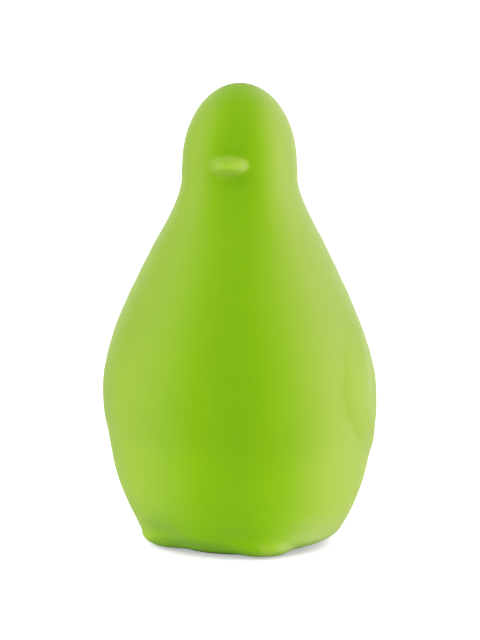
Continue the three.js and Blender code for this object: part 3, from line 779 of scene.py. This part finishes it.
def turned_steel():
    """fine tool rings about the screw axis"""
    material, shader, surface = new_material("turned_steel")
    centred = shader.add("Mapping", {"Vector": shader.object_place(),
                                     "Location": (0, -AXIS_Y * 1e-3, 0)}).outputs["Vector"]
    rings = shader.add("TexWave", {"Vector": centred, "Scale": 900, "Distortion": 0.6,
                                   "Detail": 3},
                       wave_type="RINGS", rings_direction="Z").outputs["Fac"]
    shader.feed(surface, {
        "Base Color": shader.ramp(rings, [(0.0, (0.42, 0.43, 0.44)), (1.0, (0.56, 0.57, 0.58))]),
        "Metallic": 1.0,
        "Roughness": 0.34,
        "Normal": shader.bump(rings, strength=0.15, distance=0.00003)})
    return material


def closed_cell_foam():
    material, shader, surface = new_material("closed_cell_foam")
    cells = shader.add("TexVoronoi", {"Vector": shader.object_place(),
                                      "Scale": 1600}).outputs["Distance"]
    shader.feed(surface, {
        "Base Color": shader.ramp(cells, [(0.0, (0.11, 0.12, 0.12)), (0.6, (0.06, 0.065, 0.065))]),
        "Roughness": 0.95,
        "Normal": shader.bump(cells, strength=0.6, distance=0.0002)})
    return material


GREEN_SKIN = moulded_green()
INNER = inner_plastic()
GRIP = rubber("grip_rubber", ((0.13, 0.28, 0.02), (0.17, 0.34, 0.03)), roughness=0.7)
SEAL = rubber("seal_silicone", ((0.25, 0.27, 0.27), (0.33, 0.35, 0.35)), roughness=0.6)
STEEL = turned_steel()
ZINC = zinc()
FOAM = closed_cell_foam()


# ---------------------------------------------------------------- assembly
def place(piece, material, replaced, body):
    piece.data.materials.clear()
    piece.data.materials.append(material)
    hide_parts(replaced)
    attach(piece, body)


BALLAST_BOTTOM, BALLAST_PITCH, BALLAST_THICK = 2.7, 5.1, 5.0

place(body_skin(), GREEN_SKIN, "body_shell", "figure")
place(collar_fine(), INNER, "threaded_collar", "figure")
place(ring("collar_keeper_fine", inner=20.1, outer=24.4, bottom=7.65, top=9.2, rounding=0.3),
      INNER, "collar_keeper", "figure")
place(grip_ring_fine(), GRIP, "grip_ring", "figure")
place(ring("base_seal_fine", inner=18.3, outer=20.6, bottom=2.08, top=2.92, rounding=0.3),
      SEAL, "base_seal", "seal")
place(screw_base_fine(), INNER, "screw_base", "base")
for i in range(3):
    disc_name = f"ballast_disc_{i + 1}"
    disc_bottom = BALLAST_BOTTOM + i * BALLAST_PITCH
    place(ring(disc_name + "_fine", inner=3.4, outer=13.9, bottom=disc_bottom,
               top=disc_bottom + BALLAST_THICK, rounding=0.35),
          STEEL, disc_name, "base")
place(ring("foam_damper_fine", inner=3.4, outer=13.8, bottom=18.05, top=19.9, rounding=0.4),
      FOAM, "foam_damper", "base")
place(cup_lid_fine(), INNER, "cup_lid", "base")
place(ring("lid_washer_fine", inner=1.6, outer=3.3, bottom=22.1, top=22.6, rounding=0.12,
           count=64),
      ZINC, "lid_washer", "base")
place(screw_fine(), ZINC, "lid_screw", "base")

# ---------------------------------------------------------------- camera
CAMERA_BEARING, CAMERA_ELEVATION = 26.0, 8.2  # degrees
CAMERA_DISTANCE, CAMERA_AIM_Z = 1.05, 0.0872
VIEW_WIDTH = 0.248  # what the picture covers at the figure
VIEW_SHIFT = 0.001453125  # sideways, as a share of the picture
SENSOR_WIDTH = 36.0


def around(bearing, distance, height):
    """a place round the figure; bearing in degrees from the front towards +X"""
    angle = math.radians(bearing)
    return math.sin(angle) * distance, -math.cos(angle) * distance, height


def add_aimed(name, data, location, aim_z):
    """an object that looks at a height on the world's z axis"""
    aimed = bpy.data.objects.new(name, data)
    scene.collection.objects.link(aimed)
    aimed.location = location
    toward = Vector((0, 0, aim_z)) - aimed.location
    aimed.rotation_euler = toward.to_track_quat("-Z", "Y").to_euler()
    return aimed


def add_camera():
    camera = bpy.data.cameras.new("camera")
    camera.sensor_fit, camera.sensor_width = "AUTO", SENSOR_WIDTH
    camera.lens = SENSOR_WIDTH * CAMERA_DISTANCE / VIEW_WIDTH
    camera.shift_x = VIEW_SHIFT
    camera.clip_end = 100.0
    elevation = math.radians(CAMERA_ELEVATION)
    location = around(CAMERA_BEARING, math.cos(elevation) * CAMERA_DISTANCE,
                      CAMERA_AIM_Z + math.sin(elevation) * CAMERA_DISTANCE)
    scene.camera = add_aimed("camera", camera, location, CAMERA_AIM_Z)


add_camera()

# ---------------------------------------------------------------- floor
FLOOR_SIZE = 24.0
# where the camera-only floor glow rises, and how strong: the weak glow near the figure is a
# painted shadow
SHADOW_POOL_DISTANCE, GLOW_WITH_SHADOW_POOL = (0.029, 0.046), (0.38, 0.85)
CLEAR_RADIUS = 0.0235


def pale_floor():
    material, shader, surface = new_material("pale_floor")
    colour = shader.between(shader.noise(scale=6, detail=2), (0.89,) * 3, (0.91,) * 3)
    # for the camera only, a glow turns the sweep white a little way from the figure; weaker near
    # the figure, it paints a shadow round it on top of the real contact shadow
    distance = shader.length(shader.object_place())
    glow_and_shadow = shader.remap(distance, SHADOW_POOL_DISTANCE, GLOW_WITH_SHADOW_POOL)
    camera_ray = shader.add("LightPath").outputs["Is Camera Ray"]
    shader.feed(surface, {
        "Base Color": colour,
        "Roughness": 0.85,
        "Specular IOR Level": 0.1,
        "Emission Color": (1, 1, 1, 1),
        "Emission Strength": shader.math("MULTIPLY", camera_ray, glow_and_shadow)})
    # from below, and under the hollow of the ring, it is clear, so the underside can be seen
    from_below = shader.add("NewGeometry").outputs["Backfacing"]
    under_ring = shader.math("LESS_THAN", distance, CLEAR_RADIUS)
    see_through = shader.math("MAXIMUM", from_below, under_ring)
    clear = shader.add("BsdfTransparent").outputs[0]
    mixed = shader.add("MixShader", {0: see_through, 1: surface.outputs[0], 2: clear}).outputs[0]
    shader.feed(material.node_tree.nodes["Material Output"], {"Surface": mixed})
    return material


bpy.ops.mesh.primitive_plane_add(size=FLOOR_SIZE, location=(0, 0, 0))
floor = bpy.context.object
floor.name = "floor"
floor.data.materials.append(pale_floor())

# ---------------------------------------------------------------- light
WORLD_LIGHT, WORLD_SEEN = 0.528, 1.05  # strength as a light, and as the camera sees it
STRIP_DISTANCE, STRIP_Z, STRIP_AIM_Z = 0.7, 0.35, 0.12
STRIP_WIDTH, STRIP_HEIGHT = 0.30, 0.95
# degrees round to the camera's right, watts
STRIPS = ((-150, 0.7), (-95, 0.94), (-70, 1.04), (-45, 1.21),
          (45, 1.45), (70, 1.06), (95, 0.61), (150, 0.7))


def add_world():
    world = bpy.data.worlds.new("studio")
    scene.world = world
    world.use_nodes = True
    shader = Shader(world.node_tree)
    camera_ray = shader.add("LightPath").outputs["Is Camera Ray"]
    strength = shader.add("Mix", data_type="FLOAT",
                          inputs={0: camera_ray, 2: WORLD_LIGHT, 3: WORLD_SEEN}).outputs[0]
    shader.feed(world.node_tree.nodes["Background"],
                {"Color": (1, 1, 1, 1), "Strength": strength})


def add_strip(bearing, power):
    name = f"strip_{bearing:+04d}"
    light = bpy.data.lights.new(name, "AREA")
    light.shape, light.size, light.size_y = "RECTANGLE", STRIP_WIDTH, STRIP_HEIGHT
    light.energy = power
    location = around(CAMERA_BEARING + bearing, STRIP_DISTANCE, STRIP_Z)
    add_aimed(name, light, location, STRIP_AIM_Z)


add_world()
for strip_bearing, strip_power in STRIPS:
    add_strip(strip_bearing, strip_power)

scene.view_settings.view_transform = "Standard"
